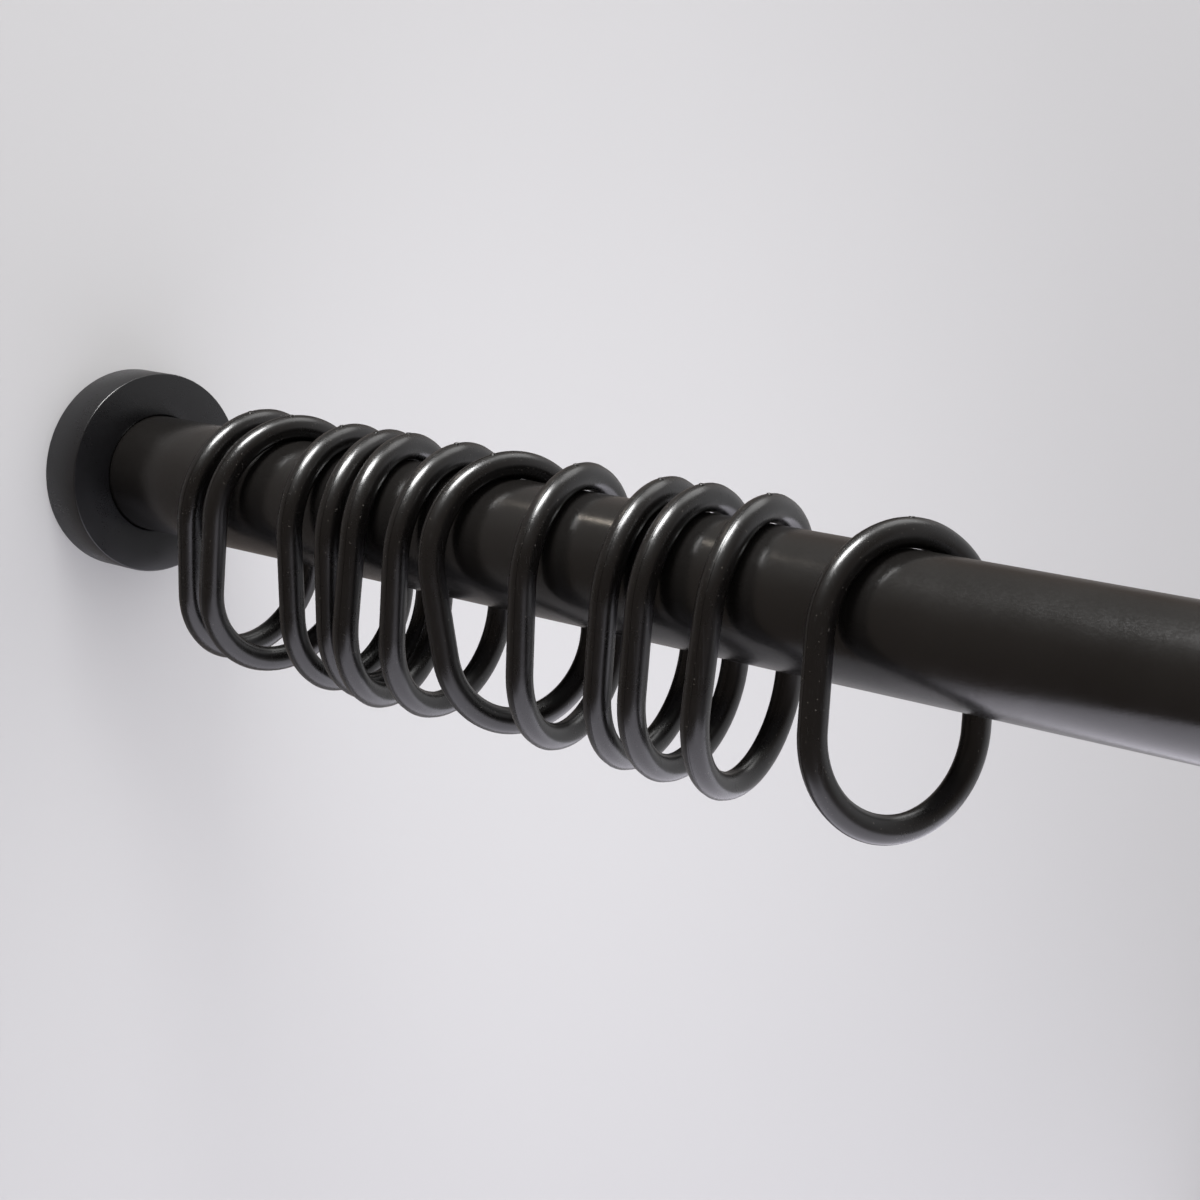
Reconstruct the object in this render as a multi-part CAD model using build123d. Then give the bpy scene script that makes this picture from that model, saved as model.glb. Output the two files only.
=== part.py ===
from build123d import *
import os

# A straight shower curtain rod that is fixed wall to wall, with twelve captive curtain rings.
# The tube slips over a spigot on each wall plate. A cup shaped cover hides each plate and its
# screws, and a small grub screw at the underside locks the cover to the plate.
#
# Frame: the origin is on the left wall, on the axis of the tube. +X runs along the tube to the
# right wall, +Z is up, and the viewer of the photograph stands on the -Y side. Millimetres.

# Tube
WALL_TO_WALL = 900.0          # clear distance between the two walls
ROD_DIAMETER = 25.0
ROD_WALL = 1.0
ROD_END_SLACK = 0.3           # play between each tube end and its wall plate
ROD_END_CHAMFER = 0.2         # both edges of a cut end are deburred

# Wall plate, which is screwed to the wall
PLATE_THICKNESS = 6.0
PLATE_EDGE_CHAMFER = 0.6
SPIGOT_DEPTH = 12.0           # how far the spigot reaches into the tube
SPIGOT_WALL = 2.4
SPIGOT_LEAD_IN = 1.0          # chamfer that guides the tube on
SPIGOT_CLEARANCE = 0.1        # radial, spigot to tube
SCREW_COUNT = 3
SCREW_HOLE_DIAMETER = 4.2
SCREW_HEAD_DIAMETER = 6.4
SCREW_HEAD_ANGLE = 90.0

# Cover, the cup that shows
COVER_MARGIN = 9.2            # from the tube's surface to the cover's rim
COVER_DEPTH = 10.8
COVER_WALL = 1.8
COVER_FACE = 2.0
COVER_EDGE_CHAMFER = 0.35
COVER_BORE_CLEARANCE = 0.15   # radial, cover to tube
COVER_RIM_CLEARANCE = 0.1     # radial, cover to plate

# Grub screw, which locks the cover from below
GRUB_DIAMETER = 3.0
GRUB_LENGTH = 4.0
GRUB_SETBACK = 0.4            # how far its outer end lies below the cover's surface
GRUB_CLEARANCE = 0.02         # radial, stands in for the thread
GRUB_TIP_CHAMFER = 0.4
GRUB_KEY = 1.5                # across the flats of the hexagon socket
GRUB_KEY_DEPTH = 1.6

# Curtain ring, one moulding with two straight limbs and two round ends
RING_PLAY = 4.2               # inside width less the tube's diameter
RING_WIRE = 5.1               # diameter of the round section
RING_LIMB = 15.9              # length of each straight limb
RING_SEAM_WIDTH = 0.3         # the parting line of the mould stands proud all round
RING_SEAM_HEIGHT = 0.08
RING_GATE_DIAMETER = 1.3      # the trimmed stub of the moulding gate, at the ring's top
RING_GATE_HEIGHT = 0.15
RING_REST_GAP = 0.4           # running room between a ring and the top of the tube

# How the twelve rings hang: place along the tube, turn about the vertical, lean of the ring's
# top towards +X, and swing about the tube, from the left wall on. Lengths and degrees.
RING_PLACES = [44.5, 56.5, 76.0, 86.5, 93.5, 109.0, 125.5, 143.5, 165.0, 175.0, 190.5, 224.5]
RING_TURNS = [6, -5, 11, 15, 17, 11, -9, 15, 15, 12, 15, -12]
RING_LEANS = [10, 8, 3, 4, 4, 6, -1, 5, 7, 6, 6, -4]
RING_SWINGS = [8, 0, 5, 6, -4, 2, 9, 4, 4, 1, -3, -7]

# Sizes that follow from the ones above
ROD_RADIUS = ROD_DIAMETER / 2
ROD_BORE_RADIUS = ROD_RADIUS - ROD_WALL
ROD_START = PLATE_THICKNESS + ROD_END_SLACK
ROD_LENGTH = WALL_TO_WALL - 2 * ROD_START
COVER_RADIUS = ROD_RADIUS + COVER_MARGIN
COVER_INSIDE_RADIUS = COVER_RADIUS - COVER_WALL
PLATE_RADIUS = COVER_INSIDE_RADIUS - COVER_RIM_CLEARANCE
SPIGOT_RADIUS = ROD_BORE_RADIUS - SPIGOT_CLEARANCE
SPIGOT_REACH = PLATE_THICKNESS + SPIGOT_DEPTH
SCREW_CIRCLE_RADIUS = (ROD_RADIUS + PLATE_RADIUS) / 2
GRUB_HEIGHT = PLATE_THICKNESS / 2
GRUB_OUTER_END = COVER_RADIUS - GRUB_SETBACK
GRUB_TIP = GRUB_OUTER_END - GRUB_LENGTH
RING_WIRE_RADIUS = RING_WIRE / 2
RING_BEND_RADIUS = ROD_RADIUS + RING_PLAY / 2 + RING_WIRE_RADIUS
RING_REST_HEIGHT = ROD_RADIUS + RING_WIRE_RADIUS + RING_SEAM_HEIGHT + RING_REST_GAP

ON_BASE = (Align.CENTER, Align.CENTER, Align.MIN)


def rod_tube():
    # The tube lies along +X, between the two wall plates.
    with BuildPart() as tube:
        Cylinder(ROD_RADIUS, ROD_LENGTH, align=ON_BASE)
        Cylinder(ROD_BORE_RADIUS, ROD_LENGTH, align=ON_BASE, mode=Mode.SUBTRACT)
        chamfer(tube.edges().filter_by(GeomType.CIRCLE), ROD_END_CHAMFER)
    return Pos(ROD_START, 0, 0) * Rot(0, 90, 0) * tube.part


def wall_plate():
    # A disc with a hollow spigot. Its back is at height 0, +Z points away from the wall and
    # +X down. The screw holes are countersunk around the tube, under the cover.
    with BuildPart() as plate:
        Cylinder(PLATE_RADIUS, PLATE_THICKNESS, align=ON_BASE)
        chamfer(plate.edges().group_by(Axis.Z)[-1], PLATE_EDGE_CHAMFER)
        Cylinder(SPIGOT_RADIUS, SPIGOT_REACH, align=ON_BASE)
        chamfer(plate.edges().group_by(Axis.Z)[-1], SPIGOT_LEAD_IN)
        Cylinder(SPIGOT_RADIUS - SPIGOT_WALL, SPIGOT_REACH, align=ON_BASE, mode=Mode.SUBTRACT)
        with Locations((0, 0, PLATE_THICKNESS)):
            # The half step keeps the holes away from the grub screw's pocket.
            with PolarLocations(SCREW_CIRCLE_RADIUS, SCREW_COUNT, start_angle=180 / SCREW_COUNT):
                CounterSinkHole(
                    SCREW_HOLE_DIAMETER / 2,
                    SCREW_HEAD_DIAMETER / 2,
                    depth=PLATE_THICKNESS,
                    counter_sink_angle=SCREW_HEAD_ANGLE,
                )
        with Locations(Location((GRUB_TIP, 0, GRUB_HEIGHT), (0, 90, 0))):
            Cylinder(
                GRUB_DIAMETER / 2 + GRUB_CLEARANCE,
                PLATE_RADIUS,
                align=ON_BASE,
                mode=Mode.SUBTRACT,
            )
    return plate.part


def flange_cover():
    # The cup in the same frame as its plate: open towards the wall, bored for the tube, with
    # crisp chamfered edges and a tapped hole at the underside.
    with BuildPart() as cover:
        Cylinder(COVER_RADIUS, COVER_DEPTH, align=ON_BASE)
        chamfer(cover.edges().group_by(Axis.Z)[-1], COVER_EDGE_CHAMFER)
        Cylinder(
            COVER_INSIDE_RADIUS, COVER_DEPTH - COVER_FACE, align=ON_BASE, mode=Mode.SUBTRACT
        )
        Cylinder(
            ROD_RADIUS + COVER_BORE_CLEARANCE, COVER_DEPTH, align=ON_BASE, mode=Mode.SUBTRACT
        )
        with Locations(Location((0, 0, GRUB_HEIGHT), (0, 90, 0))):
            Cylinder(
                GRUB_DIAMETER / 2 + GRUB_CLEARANCE,
                COVER_RADIUS,
                align=ON_BASE,
                mode=Mode.SUBTRACT,
            )
    return cover.part


def grub_screw():
    # A headless screw with a hexagon socket. It points inwards, towards the plate's pocket.
    with BuildPart() as screw:
        Cylinder(GRUB_DIAMETER / 2, GRUB_LENGTH, align=ON_BASE)
        chamfer(screw.edges().group_by(Axis.Z)[0], GRUB_TIP_CHAMFER)
        with BuildSketch(Plane.XY.offset(GRUB_LENGTH)):
            RegularPolygon(GRUB_KEY / 2, 6, major_radius=False)
        extrude(amount=-GRUB_KEY_DEPTH, mode=Mode.SUBTRACT)
    return Pos(GRUB_TIP, 0, GRUB_HEIGHT) * Rot(0, 90, 0) * screw.part


def curtain_ring():
    # The ring stands in the YZ plane, with the origin at the centre of its upper bend. Its
    # section is a circle with a thin seam at the inner and the outer edge.
    with BuildPart() as ring:
        with BuildLine(Plane.YZ) as path:
            Line((RING_BEND_RADIUS, -RING_LIMB), (RING_BEND_RADIUS, 0))
            CenterArc((0, 0), RING_BEND_RADIUS, 0, 180)
            Line((-RING_BEND_RADIUS, 0), (-RING_BEND_RADIUS, -RING_LIMB))
            CenterArc((0, -RING_LIMB), RING_BEND_RADIUS, 180, 180)
        with BuildSketch(Plane.XY.offset(-RING_LIMB)):
            with Locations((0, RING_BEND_RADIUS)):
                Circle(RING_WIRE_RADIUS)
                Rectangle(RING_SEAM_WIDTH, RING_WIRE + 2 * RING_SEAM_HEIGHT)
        sweep(path=path.line)
        with Locations((0, 0, RING_BEND_RADIUS)):
            Cylinder(
                RING_GATE_DIAMETER / 2, RING_WIRE_RADIUS + RING_GATE_HEIGHT, align=ON_BASE
            )
    return ring.part


def at_left_wall(piece):
    # Turns a piece so that it stands off the left wall, with its underside down.
    return Rot(0, 90, 0) * piece


def at_right_wall(piece):
    # The mirror position at the right wall, with the same side down.
    return Pos(WALL_TO_WALL, 0, 0) * Rot(0, -90, 0) * Rot(0, 0, 180) * piece


def hung_ring(ring, place, turn, lean, swing):
    # Hangs a ring on the tube: its upper bend clears the tube's top by the running room.
    rest_height = RING_REST_HEIGHT - RING_BEND_RADIUS * Vector(0, 0, 1).rotate(Axis.Y, lean).Z
    hang = Pos(place, 0, rest_height) * Rot(0, 0, turn) * Rot(0, lean, 0) * Rot(swing, 0, 0)
    return hang * ring


def all_pieces():
    # Every piece by its name, in its place.
    pieces = {"rod_tube": rod_tube()}
    for side, at_wall in {"left": at_left_wall, "right": at_right_wall}.items():
        pieces[f"wall_plate_{side}"] = at_wall(wall_plate())
        pieces[f"flange_cover_{side}"] = at_wall(flange_cover())
        pieces[f"grub_screw_{side}"] = at_wall(grub_screw())
    ring = curtain_ring()
    hangings = zip(RING_PLACES, RING_TURNS, RING_LEANS, RING_SWINGS)
    for number, hanging in enumerate(hangings, start=1):
        pieces[f"curtain_ring_{number:02d}"] = hung_ring(ring, *hanging)
    return pieces


os.makedirs("parts", exist_ok=True)
for name, piece in all_pieces().items():
    export_step(piece, f"parts/{name}.step")
    print(name, f"{piece.volume:.1f} mm3", "valid" if piece.is_valid else "NOT VALID")
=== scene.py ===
# %% [markdown]
# # A black shower curtain rod with its rings
# The rod is a powder coated steel tube that runs from wall to wall. A cup shaped cover hides the
# fixing at each wall, and twelve moulded rings hang on the tube. The working model comes in as a
# fixed frame: it says where every piece sits and which pieces move. This script makes the finish,
# and makes again the pieces whose smooth roundness or fine edges show in a close view.

# %% Load the frame
import bpy
import bmesh
from math import radians, pi, cos, sin
from mathutils import Matrix, Vector


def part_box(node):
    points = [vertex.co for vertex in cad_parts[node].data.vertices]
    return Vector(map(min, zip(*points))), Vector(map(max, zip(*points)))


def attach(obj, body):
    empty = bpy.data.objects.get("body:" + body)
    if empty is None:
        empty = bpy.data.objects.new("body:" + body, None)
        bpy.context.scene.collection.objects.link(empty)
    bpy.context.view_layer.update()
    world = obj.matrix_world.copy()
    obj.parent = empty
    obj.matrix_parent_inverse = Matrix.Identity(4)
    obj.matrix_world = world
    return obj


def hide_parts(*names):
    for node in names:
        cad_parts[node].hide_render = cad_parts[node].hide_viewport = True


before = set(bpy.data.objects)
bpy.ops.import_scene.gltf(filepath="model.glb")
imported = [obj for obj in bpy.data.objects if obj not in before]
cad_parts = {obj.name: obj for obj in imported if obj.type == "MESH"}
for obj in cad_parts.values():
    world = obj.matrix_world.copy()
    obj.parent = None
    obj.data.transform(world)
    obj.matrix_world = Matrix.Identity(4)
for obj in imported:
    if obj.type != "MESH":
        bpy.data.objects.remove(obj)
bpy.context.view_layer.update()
MM = 0.001

# %% [markdown]
# ## The camera
# The photograph looks along the tube towards the left wall, from a little above. Its place and its
# long lens were worked out from the edges of the tube and the outline of the cover, so the
# perspective of the rings comes out right without any fitting by eye. The Standard view shows every
# colour as it is written.

# %% Camera
CAMERA_PLACE = Vector((540.3, -369.1, 104.2)) * MM
CAMERA_AZIMUTH = radians(46.53)     # 0 looks along +Y, 90 looks along -X
CAMERA_ELEVATION = radians(11.73)
SENSOR_WIDTH = 36.0
CAMERA_LENS = 88.86
CAMERA_SEES = (0.01, 50)         # nearest and furthest


def add_camera():
    data = bpy.data.cameras.new("camera")
    data.sensor_width = SENSOR_WIDTH
    data.lens = CAMERA_LENS
    data.clip_start, data.clip_end = CAMERA_SEES
    camera = bpy.data.objects.new("camera", data)
    camera.location = CAMERA_PLACE
    camera.rotation_euler = (pi / 2 - CAMERA_ELEVATION, 0, CAMERA_AZIMUTH)
    bpy.context.scene.collection.objects.link(camera)
    bpy.context.scene.camera = camera
    return camera


bpy.context.scene.view_settings.view_transform = "Standard"
print("camera lens:", add_camera().data.lens, "mm")

# %% [markdown]
# ## Small helpers for meshes
# A piece is made as a bmesh, the editable form of a mesh, and handed over as an object at the
# origin. Round faces are shaded smooth. An edge that folds by more than a set angle is marked
# sharp, so a crisp rim stays crisp.

# %% From bmesh to object
SHARP_ANGLE = radians(35)
MERGE_WITHIN = 0.0005 * MM


def finished(name, bm, material):
    bmesh.ops.remove_doubles(bm, verts=bm.verts, dist=MERGE_WITHIN)
    bmesh.ops.recalc_face_normals(bm, faces=bm.faces)
    for face in bm.faces:
        face.smooth = True
    for edge in bm.edges:
        if len(edge.link_faces) == 2:
            edge.smooth = edge.calc_face_angle() < SHARP_ANGLE
    mesh = bpy.data.meshes.new(name)
    bm.to_mesh(mesh)
    bm.free()
    mesh.materials.append(material)
    piece = bpy.data.objects.new(name, mesh)
    bpy.context.scene.collection.objects.link(piece)
    print(name, "has", len(mesh.polygons), "faces")
    return piece


# %% [markdown]
# A turned shape, such as a tube or a cup, is a closed outline that is spun about an axis. This is
# what a lathe does. The outline lists distance along the tube and distance from its axis.

# %% Lathe
def turned(outline, steps):
    bm = bmesh.new()
    corners = [bm.verts.new((along, 0, radius)) for along, radius in outline]
    edges = [bm.edges.new((a, b)) for a, b in zip(corners, corners[1:] + corners[:1])]
    bmesh.ops.spin(
        bm, geom=corners + edges, cent=(0, 0, 0), axis=(1, 0, 0),
        angle=2 * pi, steps=steps, use_merge=True,
    )
    bmesh.ops.recalc_face_normals(bm, faces=bm.faces)
    return bm


def round_the_rims(bm, width):
    # Every fold of the turned shape gets a small rounded edge, which catches a thin highlight.
    folds = [e for e in bm.edges if len(e.link_faces) == 2 and e.calc_face_angle() > SHARP_ANGLE]
    bmesh.ops.bevel(
        bm, geom=folds, offset=width, affect="EDGES", segments=3,
        profile=0.5, material=-1, clamp_overlap=True,
    )


# %% [markdown]
# ## Small helpers for nodes
# Materials and the room's light are trees of nodes. The helpers add a node and set its inputs in one
# line, so a finish reads as a short recipe. A finish is the tree of one Principled shader.

# %% Nodes
class Nodes:
    def __init__(self, tree):
        self.tree = tree

    def feed(self, socket, value):
        if isinstance(value, bpy.types.NodeSocket):
            self.tree.links.new(value, socket)
        else:
            socket.default_value = value

    def add(self, kind, settings=None, **inputs):
        made = self.tree.nodes.new(kind)
        for setting, value in (settings or {}).items():
            setattr(made, setting, value)
        for socket, value in inputs.items():
            self.feed(made.inputs[socket.replace("_", " ")], value)
        return made

    def math(self, operation, *values, kind="ShaderNodeMath"):
        made = self.add(kind, {"operation": operation})
        for socket, value in zip(made.inputs, values):
            self.feed(socket, value)
        return made.outputs["Value"]

    def vector_math(self, operation, *vectors):
        # For the operations on vectors that give a number, such as a distance.
        return self.math(operation, *vectors, kind="ShaderNodeVectorMath")

    def spread(self, value, low, high, start=0.3, end=0.7, easing="LINEAR"):
        # Stretches start..end, which is what a noise spans, to low..high.
        made = self.add(
            "ShaderNodeMapRange", {"interpolation_type": easing}, Value=value,
            From_Min=start, From_Max=end, To_Min=low, To_Max=high,
        )
        return made.outputs["Result"]

    def blend(self, factor, colour_a, colour_b):
        made = self.add("ShaderNodeMix", {"data_type": "RGBA"})
        for index, value in ((0, factor), (6, colour_a), (7, colour_b)):
            self.feed(made.inputs[index], value)
        return made.outputs[2]


class Finish(Nodes):
    def __init__(self, name):
        self.material = bpy.data.materials.new(name)
        self.material.use_nodes = True
        super().__init__(self.material.node_tree)
        self.shader = self.tree.nodes["Principled BSDF"]
        self.place = self.add("ShaderNodeTexCoord").outputs["Object"]

    def noise(self, size_mm, detail=2.0, roughness=0.5, stretch=(1, 1, 1)):
        # Cloudy noise whose blotches are size_mm across, and drawn out along X, Y and Z by stretch.
        where = self.add(
            "ShaderNodeMapping", Vector=self.place, Scale=tuple(1 / s for s in stretch)
        ).outputs["Vector"]
        made = self.add(
            "ShaderNodeTexNoise", Vector=where, Scale=1 / (size_mm * MM),
            Detail=detail, Roughness=roughness,
        )
        return made.outputs["Fac"]

    def bump(self, height, depth_mm, over=None):
        made = self.add("ShaderNodeBump", Height=height, Strength=1.0, Distance=depth_mm * MM)
        if over is not None:
            self.feed(made.inputs["Normal"], over)
        return made.outputs["Normal"]

    def set(self, **inputs):
        for socket, value in inputs.items():
            self.feed(self.shader.inputs[socket.replace("_", " ")], value)
        return self.material


print("node helpers ready")

# %% [markdown]
# ## Powder coat
# The tube and the covers are powder coated: dry powder melted to a satin black skin. Close to, the
# skin has a soft orange peel about a millimetre across and a much finer grain that glitters a
# little where a lamp is reflected. Two bumps make these, and a slow noise varies the roughness, as
# wiping and dust do. The wall plates have the same kind of coat, but matt.

# %% Powder coat finish
COAT_BLACK = (0.0044, 0.0040, 0.0037, 1)
COAT_BLACK_WORN = (0.0064, 0.0058, 0.0054, 1)
COVER_BLACK = (0.0030, 0.0030, 0.0035, 1)
COVER_BLACK_WORN = (0.0046, 0.0046, 0.0052, 1)
CASTING_BLACK = (0.0200, 0.0200, 0.0210, 1)
CASTING_BLACK_WORN = (0.0270, 0.0265, 0.0260, 1)
TUBE_ROUGHNESS = (0.17, 0.23)
COVER_ROUGHNESS = (0.27, 0.35)
CASTING_ROUGHNESS = (0.50, 0.62)
# The sizes of patches, grains and marks are in millimetres, as the helpers take them.
WEAR_PATCH = 35
GLOSS_PATCH = 9
SPECK = 0.30
SPECK_ROUGHNESS = (-0.03, 0.03)
PEEL = 1.6
PEEL_DEPTH = 0.010
CASTING_PEEL = 0.9
CASTING_PEEL_DEPTH = 0.03
GRAIN = 0.24
GRAIN_DEPTH = 0.010
GRAIN_WAY = (2.6, 1, 1)          # the grain is drawn out a little along the tube


def powder_coat(name, colour, worn, roughness, peel_size=PEEL, peel_depth=PEEL_DEPTH):
    finish = Finish(name)
    wear = finish.spread(finish.noise(WEAR_PATCH, detail=4), 0, 1)
    # The roughness drifts slowly, and each grain of the skin is a little duller or shinier.
    drift = finish.spread(finish.noise(GLOSS_PATCH, detail=5, roughness=0.6), *roughness)
    speck = finish.spread(finish.noise(SPECK, detail=1, stretch=GRAIN_WAY), *SPECK_ROUGHNESS)
    peel = finish.bump(finish.noise(peel_size, detail=1.5), peel_depth)
    grain = finish.bump(finish.noise(GRAIN, detail=1, stretch=GRAIN_WAY), GRAIN_DEPTH, over=peel)
    return finish.set(
        Base_Color=finish.blend(wear, colour, worn),
        Roughness=finish.math("ADD", drift, speck),
        Specular_IOR_Level=0.5,
        Normal=grain,
    )


TUBE_COAT = powder_coat("tube_powder_coat", COAT_BLACK, COAT_BLACK_WORN, TUBE_ROUGHNESS)
COVER_COAT = powder_coat("cover_powder_coat", COVER_BLACK, COVER_BLACK_WORN, COVER_ROUGHNESS)
CASTING_COAT = powder_coat(
    "casting_coat", CASTING_BLACK, CASTING_BLACK_WORN, CASTING_ROUGHNESS,
    peel_size=CASTING_PEEL, peel_depth=CASTING_PEEL_DEPTH,
)
print("coats:", TUBE_COAT.name, COVER_COAT.name, CASTING_COAT.name)

# %% [markdown]
# ## Moulded ring plastic
# The rings are hard plastic out of a smooth mould. New they would be glossy, but sliding on the tube
# leaves hair scratches along the ring and a haze that makes them a little duller than the tube. The
# scratches are a noise that is stretched along the wire's straight limbs.

# %% Ring plastic finish
RING_BLACK = (0.0022, 0.0019, 0.0017, 1)
RING_BLACK_WORN = (0.0036, 0.0031, 0.0028, 1)
RING_DUST = (0.055, 0.050, 0.045, 1)
RING_WEAR_PATCH = 14
HAZE_PATCH = 6
HAZE_ROUGHNESS = (0.25, 0.31)
HAIR = 0.30
HAIR_WAY = (1, 1, 22)
HAIR_PEAKS = (0.66, 0.74)
HAIR_ROUGHNESS = 0.16
HAIR_CUT = -0.003
DUST = 0.42
DUST_PEAKS = (0.80, 0.84)
FLOW_MARK = 2.4
FLOW_DEPTH = 0.012
PORE = 0.35
PORE_DEPTH = 0.0020


def ring_plastic():
    finish = Finish("ring_plastic")
    haze = finish.spread(finish.noise(HAZE_PATCH, detail=4), *HAZE_ROUGHNESS)
    wear = finish.spread(finish.noise(RING_WEAR_PATCH, detail=3), 0, 1)
    # Only the highest peaks of the two fine noises show: as hair scratches, and as specks of dust.
    hairs = finish.spread(finish.noise(HAIR, detail=1, stretch=HAIR_WAY), 0, 1, *HAIR_PEAKS)
    dust = finish.spread(finish.noise(DUST, detail=0), 0, 1, *DUST_PEAKS)
    flow = finish.bump(finish.noise(FLOW_MARK, detail=2), FLOW_DEPTH)
    pores = finish.bump(finish.noise(PORE, detail=2), PORE_DEPTH, over=flow)
    return finish.set(
        Base_Color=finish.blend(dust, finish.blend(wear, RING_BLACK, RING_BLACK_WORN), RING_DUST),
        Roughness=finish.math("MULTIPLY_ADD", hairs, HAIR_ROUGHNESS, haze),
        Specular_IOR_Level=0.5,
        Normal=finish.bump(hairs, HAIR_CUT, over=pores),
    )


RING_PLASTIC = ring_plastic()
print("plastic:", RING_PLASTIC.name)

# %% [markdown]
# ## Screw steel
# The grub screws are bare steel under a thin black oxide, which is worn through in small patches.
# The metal is rough enough to look grey and not like a mirror.

# %% Screw steel finish
STEEL_BLACK = (0.035, 0.034, 0.036, 1)
STEEL_RUBBED = (0.075, 0.072, 0.070, 1)
STEEL_PATCH = 0.8
STEEL_ROUGHNESS = (0.34, 0.48)
STEEL_GLOSS_PATCH = 0.4
STEEL_PIT = 0.25
STEEL_PIT_DEPTH = 0.004


def blackened_steel():
    finish = Finish("blackened_steel")
    rubbed = finish.spread(finish.noise(STEEL_PATCH, detail=3), 0, 1)
    return finish.set(
        Base_Color=finish.blend(rubbed, STEEL_BLACK, STEEL_RUBBED),
        Metallic=1.0,
        Roughness=finish.spread(finish.noise(STEEL_GLOSS_PATCH), *STEEL_ROUGHNESS),
        Normal=finish.bump(finish.noise(STEEL_PIT), STEEL_PIT_DEPTH),
    )


GRUB_STEEL = blackened_steel()
print("steel:", GRUB_STEEL.name)

# %% [markdown]
# ## The tube
# The frame's own tube is coarse, because its file only has to be good enough for motion. Here the
# same tube is turned finely from its outline, with its true wall and deburred ends, so its outline
# and its long reflections stay smooth in a close view. Its length and place come from the frame.

# %% Tube
TUBE_RADIUS = 12.5 * MM
TUBE_WALL = 1.0 * MM
TUBE_DEBURR = 0.2 * MM
TUBE_STEPS = 160


def tube_outline(start, end):
    bore = TUBE_RADIUS - TUBE_WALL
    return [
        (start, bore + TUBE_DEBURR), (start, TUBE_RADIUS - TUBE_DEBURR),
        (start + TUBE_DEBURR, TUBE_RADIUS), (end - TUBE_DEBURR, TUBE_RADIUS),
        (end, TUBE_RADIUS - TUBE_DEBURR), (end, bore + TUBE_DEBURR),
        (end - TUBE_DEBURR, bore), (start + TUBE_DEBURR, bore),
    ]


tube_low, tube_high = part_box("rod_tube")
tube = finished("tube", turned(tube_outline(tube_low.x, tube_high.x), TUBE_STEPS), TUBE_COAT)
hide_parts("rod_tube")
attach(tube, "rod")

# %% [markdown]
# ## The covers
# Each cover is a cup, turned from its outline like the tube and open towards the wall. Its rims get
# a small rounded edge. The hole for the grub screw is cut at the underside with a boolean, which
# is the simplest way to drill a hole through a curved wall.

# %% Covers
COVER_WALL = 1.8 * MM
COVER_FACE = 2.0 * MM
COVER_BORE = TUBE_RADIUS + 0.15 * MM
COVER_EDGE = 0.28 * MM
COVER_STEPS = 180
GRUB_HOLE_RADIUS = 1.52 * MM
GRUB_HOLE_HEIGHT = 3.0 * MM       # above the wall
GRUB_HOLE_POINTS = 40


def cover_outline(wall, face, radius):
    # wall and face are the cup's two ends along X. The signed step between them gives the side.
    inwards = 1 if face > wall else -1
    inner_face = face - inwards * COVER_FACE
    return [
        (wall, radius - COVER_WALL), (wall, radius), (face, radius), (face, COVER_BORE),
        (inner_face, COVER_BORE), (inner_face, radius - COVER_WALL),
    ]


def drill(piece, place, radius, depth):
    # Drills a hole downwards from place, and leaves no cutter or modifier behind.
    bm = bmesh.new()
    bmesh.ops.create_cone(
        bm, cap_ends=True, segments=GRUB_HOLE_POINTS, radius1=radius, radius2=radius, depth=depth,
        matrix=Matrix.Translation(place + Vector((0, 0, -depth / 2))),
    )
    mesh = bpy.data.meshes.new("drill")
    bm.to_mesh(mesh)
    bm.free()
    cutter = bpy.data.objects.new("drill", mesh)
    bpy.context.scene.collection.objects.link(cutter)
    hole = piece.modifiers.new("hole", "BOOLEAN")
    hole.object = cutter
    hole.solver = "EXACT"
    shaped = bpy.data.meshes.new_from_object(
        piece.evaluated_get(bpy.context.evaluated_depsgraph_get())
    )
    piece.modifiers.clear()
    piece.data = shaped
    bpy.data.objects.remove(cutter)


def make_cover(side):
    low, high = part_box(f"flange_cover_{side}")
    wall, face = (low.x, high.x) if side == "left" else (high.x, low.x)
    bm = turned(cover_outline(wall, face, high.z), COVER_STEPS)
    round_the_rims(bm, COVER_EDGE)
    cover = finished(f"cover_{side}", bm, COVER_COAT)
    inwards = 1 if side == "left" else -1
    drill(cover, Vector((wall + inwards * GRUB_HOLE_HEIGHT, 0, -COVER_BORE)), GRUB_HOLE_RADIUS, high.z)
    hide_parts(f"flange_cover_{side}")
    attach(cover, "rod")
    return cover


for side in ("left", "right"):
    print("cover:", len(make_cover(side).data.polygons), "faces after drilling")

# %% [markdown]
# ## Wall plates and grub screws
# These pieces are hidden behind the covers or shown only from the wall's side. The frame's own
# solids have every hole and countersink that they need, so they only get their finish.

# %% Finish the pieces that stay
def finish_node(name, material):
    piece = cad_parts[name]
    piece.data.materials.clear()
    piece.data.materials.append(material)


for side in ("left", "right"):
    finish_node(f"wall_plate_{side}", CASTING_COAT)
    finish_node(f"grub_screw_{side}", GRUB_STEEL)
print("plates and grub screws finished")

# %% [markdown]
# ## The curtain rings
# One ring is a round wire bent to a racetrack: a half circle at the top and the bottom, joined by
# two straight limbs. The section is a circle, which is spun about the top bend's centre, pushed
# down one limb, spun about the bottom bend's centre, and pushed up the other limb until the tube
# of faces closes. The two strips of faces along the mould's parting line are then raised a little.

# %% Ring shape
WIRE_RADIUS = 2.55 * MM
RING_BEND = 17.15 * MM          # from a bend's centre to the middle of the wire
RING_LIMB = 15.9 * MM
SEAM_HEIGHT = 0.08 * MM
SEAM_FLANK = 0.02 * MM
SECTION_POINTS = 50
BEND_STEPS = 56
LIMB_STEPS = 6
GATE_RADIUS = 0.65 * MM
GATE_HEIGHT = 0.15 * MM
GATE_TAPER = 0.85
GATE_POINTS = 24


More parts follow.
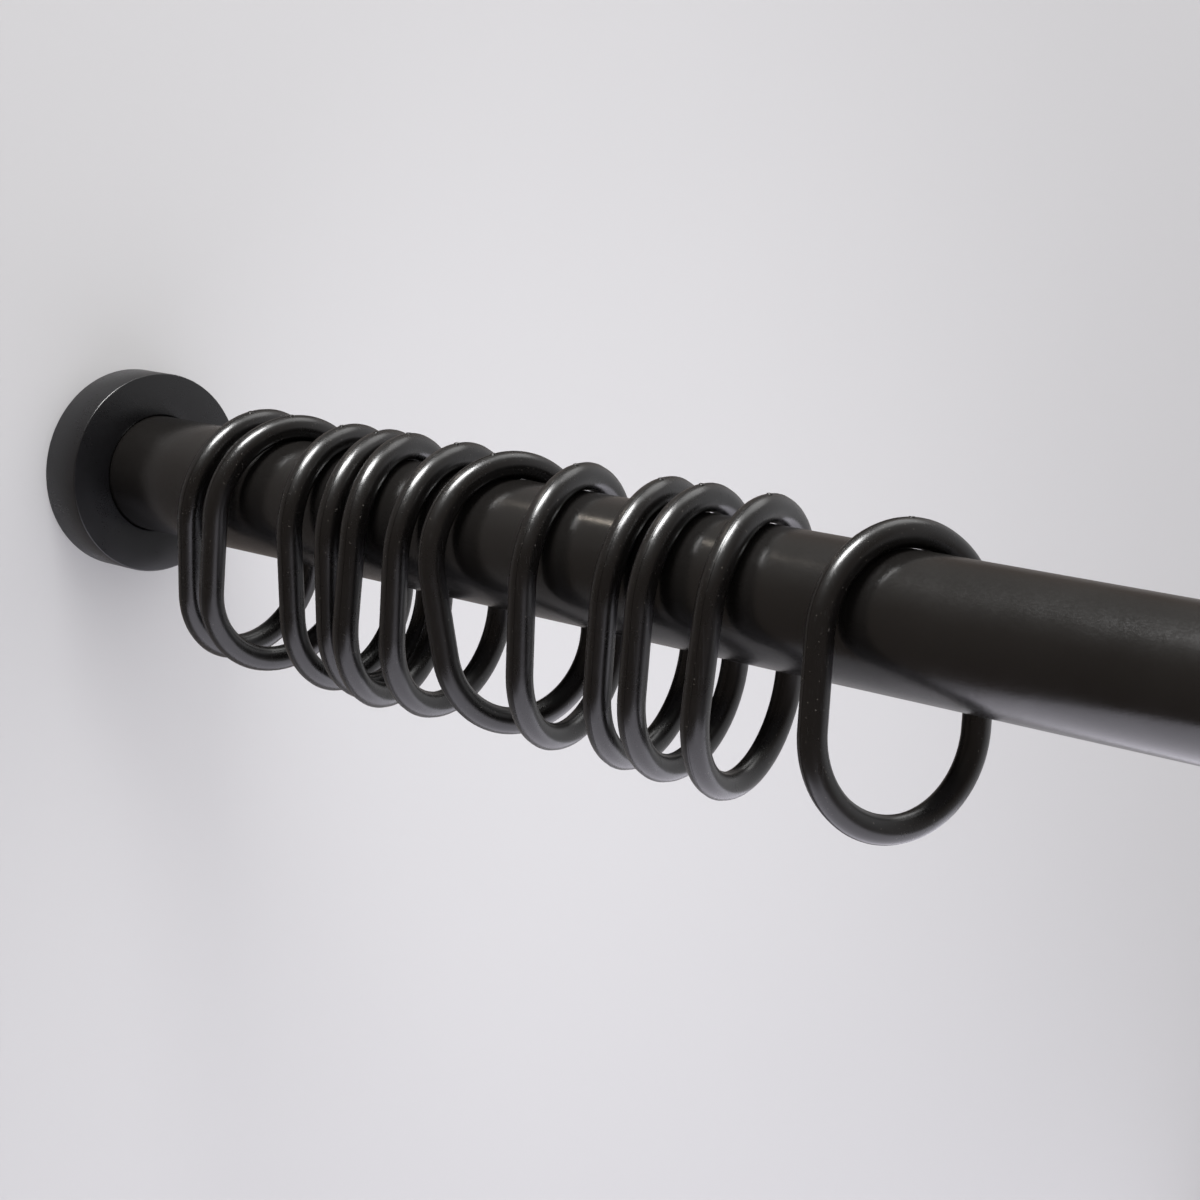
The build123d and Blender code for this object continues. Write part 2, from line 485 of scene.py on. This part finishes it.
def push(bm, loop, way, steps):
    # Extrudes a loop of edges step by step and returns the last one.
    for _ in range(steps):
        made = bmesh.ops.extrude_edge_only(bm, edges=loop)["geom"]
        verts = [g for g in made if isinstance(g, bmesh.types.BMVert)]
        loop = [g for g in made if isinstance(g, bmesh.types.BMEdge)]
        bmesh.ops.translate(bm, verts=verts, vec=way / steps)
    return loop


def bend(bm, loop, centre):
    # Spins a loop of edges by a half turn about the ring's normal and returns the last one.
    verts = list({v for e in loop for v in e.verts})
    made = bmesh.ops.spin(
        bm, geom=verts + loop, cent=centre, axis=(1, 0, 0), angle=pi, steps=BEND_STEPS
    )["geom_last"]
    return [g for g in made if isinstance(g, bmesh.types.BMEdge)]


def raise_seam(bm):
    # The faces of the parting line are centred on the ring's middle plane. The next faces of the
    # section are centred a whole step away.
    half_step = WIRE_RADIUS * sin(pi / SECTION_POINTS)
    strip = [f for f in bm.faces if abs(f.calc_center_median().x) < half_step]
    bmesh.ops.inset_region(bm, faces=strip, thickness=SEAM_FLANK, depth=SEAM_HEIGHT)


def add_gate(bm):
    # The stub of the moulding gate is a low disc with a rounded rim on the top of the ring.
    top = RING_BEND + WIRE_RADIUS
    made = bmesh.ops.create_cone(
        bm, cap_ends=True, segments=GATE_POINTS, radius1=GATE_RADIUS,
        radius2=GATE_RADIUS * GATE_TAPER, depth=2 * GATE_HEIGHT,
        matrix=Matrix.Translation((0, 0, top)),
    )
    rim = [e for v in made["verts"] for e in v.link_edges if all(u.co.z > top for u in e.verts)]
    bmesh.ops.bevel(
        bm, geom=list(set(rim)), offset=GATE_HEIGHT / 2, affect="EDGES", segments=2,
        profile=0.5, material=-1,
    )


def ring_shape():
    bm = bmesh.new()
    # Half a step of turn puts the middle of a face, not a corner, on the parting line.
    turn = Matrix.Rotation(pi / SECTION_POINTS, 4, "Z")
    verts = bmesh.ops.create_circle(
        bm, segments=SECTION_POINTS, radius=WIRE_RADIUS,
        matrix=Matrix.Translation((0, RING_BEND, 0)) @ turn,
    )["verts"]
    loop = list({e for v in verts for e in v.link_edges})
    loop = bend(bm, loop, (0, 0, 0))
    loop = push(bm, loop, Vector((0, 0, -RING_LIMB)), LIMB_STEPS)
    loop = bend(bm, loop, (0, 0, -RING_LIMB))
    push(bm, loop, Vector((0, 0, RING_LIMB)), LIMB_STEPS)
    bmesh.ops.remove_doubles(bm, verts=bm.verts, dist=MERGE_WITHIN)
    bmesh.ops.recalc_face_normals(bm, faces=bm.faces)
    raise_seam(bm)
    add_gate(bm)
    return bm


# %% [markdown]
# Twelve copies hang on the tube, each at its own place with its own small turn, lean and swing, as
# loose rings do. The values repeat those of the working model. There the rings clear the tube so
# that they can slide. Here they rest on it, and the seam bites into the coat by a hair.

# %% Hang the rings
RING_PLACES = [44.5, 56.5, 76.0, 86.5, 93.5, 109.0, 125.5, 143.5, 165.0, 175.0, 190.5, 224.5]
RING_TURNS = [6, -5, 11, 15, 17, 11, -9, 15, 15, 12, 15, -12]
RING_LEANS = [10, 8, 3, 4, 4, 6, -1, 5, 7, 6, 6, -4]
RING_SWINGS = [8, 0, 5, 6, -4, 2, 9, 4, 4, 1, -3, -7]
SEAM_BITE = 0.04 * MM


def hanging(place, turn, lean, swing):
    rest = TUBE_RADIUS + WIRE_RADIUS + SEAM_HEIGHT - SEAM_BITE - RING_BEND * cos(radians(lean))
    return (
        Matrix.Translation((place * MM, 0, rest))
        @ Matrix.Rotation(radians(turn), 4, "Z")
        @ Matrix.Rotation(radians(lean), 4, "Y")
        @ Matrix.Rotation(radians(swing), 4, "X")
    )


def hang_ring(number, shape, *pose):
    bm = shape.copy()
    bmesh.ops.transform(bm, matrix=hanging(*pose), verts=bm.verts)
    ring = finished(f"ring_{number:02d}_moulding", bm, RING_PLASTIC)
    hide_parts(f"curtain_ring_{number:02d}")
    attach(ring, f"ring_{number:02d}")


shape = ring_shape()
poses = zip(RING_PLACES, RING_TURNS, RING_LEANS, RING_SWINGS)
for number, pose in enumerate(poses, start=1):
    hang_ring(number, shape, *pose)
shape.free()

# %% [markdown]
# ## Stage paint
# The rod stands off a pale board, and a pale floor lies far below. Both get a matt paint with a faint
# cloudiness. The camera sees them lighter than the lamps make them, so the lamps on the rod itself
# can stay low. On the board this added light is painted light, strongest in a pool over the soft
# shadow under the tube, which it lightens.

# %% Paint
CLOUD = 180
CLOUD_DEPTH = 0.98
GLOW_COLOUR = (1, 0.99, 1.02, 1)


def stage_paint(name, colour):
    finish = Finish(name)
    cloudy = tuple(c * CLOUD_DEPTH for c in colour[:3]) + (1,)
    finish.set(
        Base_Color=finish.blend(finish.spread(finish.noise(CLOUD, detail=3), 0, 1), colour, cloudy),
        Roughness=0.9,
        Specular_IOR_Level=0.1,
    )
    return finish


def lighten_for_camera(finish, strength):
    seen = finish.add("ShaderNodeLightPath").outputs["Is Camera Ray"]
    glow = finish.math("MULTIPLY", seen, strength)
    finish.set(Emission_Color=GLOW_COLOUR, Emission_Strength=glow)


print("paint helpers ready")

# %% [markdown]
# ## The board
# The board stands where the wall would be. It ends just outside the picture, as a board in a small
# studio does, and what lies past its edges is what the front of the tube mirrors. Seen from behind
# it is clear, so the rod can be looked at from there too, but it lies in one plane with the back of
# the left wall plate, and parts of that back can render dark. The photographed tube mirrors little
# of its wall, so most of the board is left out of reflections. Close around the cover all of it is
# kept, and far below the tube most of it.

# %% Board paint
BOARD_COLOUR = (0.430, 0.430, 0.434, 1)
BOARD_LOST = (0.84, 0.15)                # share that reflections miss, high up and low down
BOARD_LOST_BETWEEN = (-0.05, -0.22)      # the two levels of those shares
BOARD_KEPT_BETWEEN = (0.022, 0.034)      # kept whole within the first distance from the tube's axis
BOARD_PAINTED_LIGHT = (0.18, 0.06)                # painted light: strongest in a pool over the shadow under the tube, weaker far from it
# The centre of the painted light, in the soft shadow below and beside the tube.
BOARD_PAINTED_LIGHT_CENTRE = (0, 0.11, -0.06)
BOARD_PAINTED_LIGHT_REACH = 0.30


def lost_in_mirrors(finish):
    # How much of the board a reflection misses, from 0 to 1.
    level = finish.add("ShaderNodeSeparateXYZ", Vector=finish.place).outputs["Z"]
    lost = finish.spread(level, *BOARD_LOST, *BOARD_LOST_BETWEEN)
    off_axis = finish.vector_math("LENGTH", finish.place)
    far = finish.spread(off_axis, 0, 1, *BOARD_KEPT_BETWEEN)
    mirrored = finish.add("ShaderNodeLightPath").outputs["Is Glossy Ray"]
    return finish.math("MULTIPLY", mirrored, finish.math("MULTIPLY", far, lost))


def board_paint():
    finish = stage_paint("board_paint", BOARD_COLOUR)
    # The camera sees painted light on the board: an even lift, and a pool of it centred on the soft
    # shadow under the tube, which lightens that shadow.
    away = finish.vector_math("DISTANCE", finish.place, BOARD_PAINTED_LIGHT_CENTRE)
    lighten_for_camera(finish, finish.spread(away, *BOARD_PAINTED_LIGHT, 0, BOARD_PAINTED_LIGHT_REACH, "SMOOTHSTEP"))
    behind = finish.add("ShaderNodeNewGeometry").outputs["Backfacing"]
    mix = finish.add("ShaderNodeMixShader", Fac=finish.math("MAXIMUM", behind, lost_in_mirrors(finish)))
    finish.feed(mix.inputs[1], finish.shader.outputs["BSDF"])
    finish.feed(mix.inputs[2], finish.add("ShaderNodeBsdfTransparent").outputs["BSDF"])
    finish.feed(finish.tree.nodes["Material Output"].inputs["Surface"], mix.outputs["Shader"])
    return finish.material


BOARD_PAINT = board_paint()
print("board paint:", BOARD_PAINT.name)

# %% [markdown]
# ## Sheets
# Board and floor are one flat face each. A grid of a single cell is scaled, turned and moved into
# place. The floor stays out of mirrors, because the photographed tube mirrors a dim room there.

# %% Board and floor
BOARD_FRONT, BOARD_BACK = -0.15, 2.4
BOARD_LOW, BOARD_TOP = -0.303, 0.125
FLOOR_COLOUR = (0.40, 0.397, 0.404, 1)
FLOOR_GLOW = 0.38
FLOOR_LEVEL = -1.0
FLOOR_REACH = 5.0


def floor_paint():
    finish = stage_paint("floor_paint", FLOOR_COLOUR)
    lighten_for_camera(finish, FLOOR_GLOW)
    return finish.material


def add_sheet(name, centre, turn, size, paint):
    bm = bmesh.new()
    place = Matrix.Translation(centre) @ turn @ Matrix.Diagonal((*size, 1, 1))
    bmesh.ops.create_grid(bm, x_segments=1, y_segments=1, size=0.5, matrix=place)
    mesh = bpy.data.meshes.new(name)
    bm.to_mesh(mesh)
    bm.free()
    mesh.materials.append(paint)
    sheet = bpy.data.objects.new(name, mesh)
    bpy.context.scene.collection.objects.link(sheet)
    return sheet


# The board stands up: its own X runs along Y and its own Y runs up, so its face looks towards +X.
STAND_UP = Matrix(((0, 0, 1), (1, 0, 0), (0, 1, 0))).to_4x4()
add_sheet(
    "board", (0, (BOARD_FRONT + BOARD_BACK) / 2, (BOARD_LOW + BOARD_TOP) / 2),
    STAND_UP, (BOARD_BACK - BOARD_FRONT, BOARD_TOP - BOARD_LOW), BOARD_PAINT,
)
floor = add_sheet(
    "floor", (0, 0, FLOOR_LEVEL), Matrix.Identity(4), (2 * FLOOR_REACH, 2 * FLOOR_REACH), floor_paint()
)
floor.visible_glossy = False
print("board and floor up")

# %% [markdown]
# ## Light
# A black satin thing shows its surroundings more than its own colour, so the light is placed for
# what the tube mirrors. The photograph's tube is dark in the middle, so the room in front is dim.
# Its underside has a bright band, so a white panel glows below. A soft lamp high above, with a
# weaker one beside it, gives the rings their highlights, and another lights them from behind. A
# small warm lamp behind the board, above its top edge, makes the grainy streak along the tube.

# %% Lamps for the rod
COOL = (0.93, 0.915, 1.03)
WARM = (1.0, 0.89, 0.76)


def add_lamp(name, place, aim, size, radiance, colour=(1, 1, 1)):
    # Radiance is how bright the lamp's face looks, where 1 is white. The watts follow from it.
    data = bpy.data.lights.new(name, "AREA")
    data.shape = "RECTANGLE"
    data.size, data.size_y = size
    data.energy = radiance * size[0] * size[1] * pi
    data.color = colour
    lamp = bpy.data.objects.new(name, data)
    lamp.location = place
    lamp.rotation_euler = (Vector(aim) - Vector(place)).to_track_quat("-Z", "Y").to_euler()
    lamp.visible_camera = False
    bpy.context.scene.collection.objects.link(lamp)
    return lamp


add_lamp("soft_lamp", place=(0.07, -0.24, 0.95), aim=(0.17, 0, 0), size=(0.32, 0.46), radiance=54)
add_lamp("soft_lamp_halo", place=(0.20, -0.05, 1.0), aim=(0.2, 0, 0), size=(0.34, 1.00), radiance=2.0)
add_lamp("back_lamp", place=(0.12, 0.60, 0.85), aim=(0.15, 0, 0), size=(0.60, 0.50), radiance=2.6)
add_lamp(
    "streak_lamp", place=(-0.08, -0.025, 0.259), aim=(0.165, 0, 0.01), size=(0.016, 0.016),
    radiance=38, colour=WARM,
)
low_panel = add_lamp(
    "low_panel", place=(0.36, 0.055, -0.305), aim=(0.36, 0.055, 1.0), size=(0.70, 0.74),
    radiance=2.0, colour=COOL,
)
# The panel is only there to be mirrored, so it does not wash the board from below.
low_panel.visible_diffuse = False
print("lamps for the rod on")

# %% [markdown]
# The board needs light of its own: a wide fill in front of it, and a bounce from below that softens
# the shadow. Both stay out of mirrors, so the tube doesn't show them.

# %% Lamps for the board
wall_fill = add_lamp(
    "wall_fill", place=(0.60, 0.32, 0.40), aim=(0, 0.32, 0), size=(1.9, 1.9),
    radiance=1.13, colour=(1.0, 0.998, 1.018),
)
wall_bounce = add_lamp(
    "wall_bounce", place=(0.36, 0.055, -0.32), aim=(0.36, 0.055, 1.0), size=(0.70, 0.74),
    radiance=1.45, colour=COOL,
)
for lamp in (wall_fill, wall_bounce):
    lamp.visible_glossy = False
print("lamps for the board on")

# %% [markdown]
# ## The room
# The world is the room around. It is dim at eye level and lighter towards the ceiling. The camera
# sees a plain pale backdrop in its place. Reflections see that backdrop too, but only where they
# look past the rod and away from the viewer.

# %% Room
BACKDROP = (0.74, 0.735, 0.755, 1)
BACKDROP_WAY = (0.34, 0.94, 0)
BACKDROP_FADE = (0.45, 0.95)     # how closely a ray has to point that way
ROOM_DIM = (0.176, 0.146, 0.128, 1)
ROOM_CEILING = (0.40, 0.39, 0.375, 1)
CEILING_FADE = (0.35, 0.95)      # how steeply a ray has to rise


def add_room():
    world = bpy.data.worlds.new("room")
    world.use_nodes = True
    bpy.context.scene.world = world
    light = Nodes(world.node_tree)
    way = light.add("ShaderNodeTexCoord").outputs["Generated"]
    rise = light.add("ShaderNodeSeparateXYZ", Vector=way).outputs["Z"]
    room = light.blend(light.spread(rise, 0, 1, *CEILING_FADE, "SMOOTHSTEP"), ROOM_DIM, ROOM_CEILING)
    ahead = light.vector_math("DOT_PRODUCT", way, BACKDROP_WAY)
    in_front = light.spread(ahead, 0, 1, *BACKDROP_FADE, "SMOOTHSTEP")
    ray = light.add("ShaderNodeLightPath").outputs
    mirrored = light.math("MULTIPLY", in_front, ray["Is Glossy Ray"])
    seen = light.math("MAXIMUM", ray["Is Camera Ray"], mirrored)
    seen = light.math("MAXIMUM", seen, ray["Is Transmission Ray"])
    light.feed(light.tree.nodes["Background"].inputs["Color"], light.blend(seen, room, BACKDROP))
    return world


print("room around:", add_room().name)
